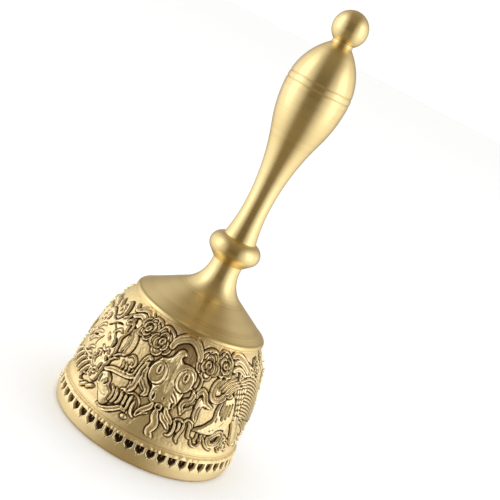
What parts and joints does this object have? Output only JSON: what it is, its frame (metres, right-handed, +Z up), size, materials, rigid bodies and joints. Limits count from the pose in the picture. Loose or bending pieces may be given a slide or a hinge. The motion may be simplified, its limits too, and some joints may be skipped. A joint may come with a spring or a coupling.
{
  "type": "hand bell",
  "caption": "Small brass hand bell: relief-cast cup, trumpet cap, bead, baluster grip and ball finial, with a clapper on a jump ring inside.",
  "frame": {"origin": "centre of the mouth, in the plane the rim stands on", "axes": "+Z up the bell's axis to the ball, +X along the swing axis of the jump ring"},
  "size_m": [0.0566, 0.0566, 0.134],
  "materials": {
    "cast_brass": "cast relief, rubbed bright on top with dark patina in the recesses",
    "turned_brass": "satin, brushed round the axis",
    "brass_hardware": "plain machined",
    "brass_wire": "drawn wire",
    "bob_brass": "turned, slightly dulled"
  },
  "bodies": {
    "bell": {"bell_cup": "cast_brass", "shoulder_cap": "turned_brass", "collar_bead": "turned_brass", "handle_grip": "turned_brass", "finial_ball": "turned_brass", "eye_bolt": "brass_hardware", "crown_washer": "brass_hardware", "crown_nut": "brass_hardware"},
    "link": {"hanger_ring": "brass_wire"},
    "clapper": {"clapper_rod": "brass_wire", "clapper_bob": "bob_brass"}
  },
  "joints": [
    {"name": "link_swing", "type": "hinge", "parent": "bell", "child": "link", "pos_m": [0, 0, 0.03045], "axis": [1, 0, 0], "range_deg": [-48, 48]},
    {"name": "clapper_swing", "type": "hinge", "parent": "link", "child": "clapper", "pos_m": [0, 0, 0.0269], "axis": [0, 1, 0], "range_deg": [-15, 15]}
  ]
}
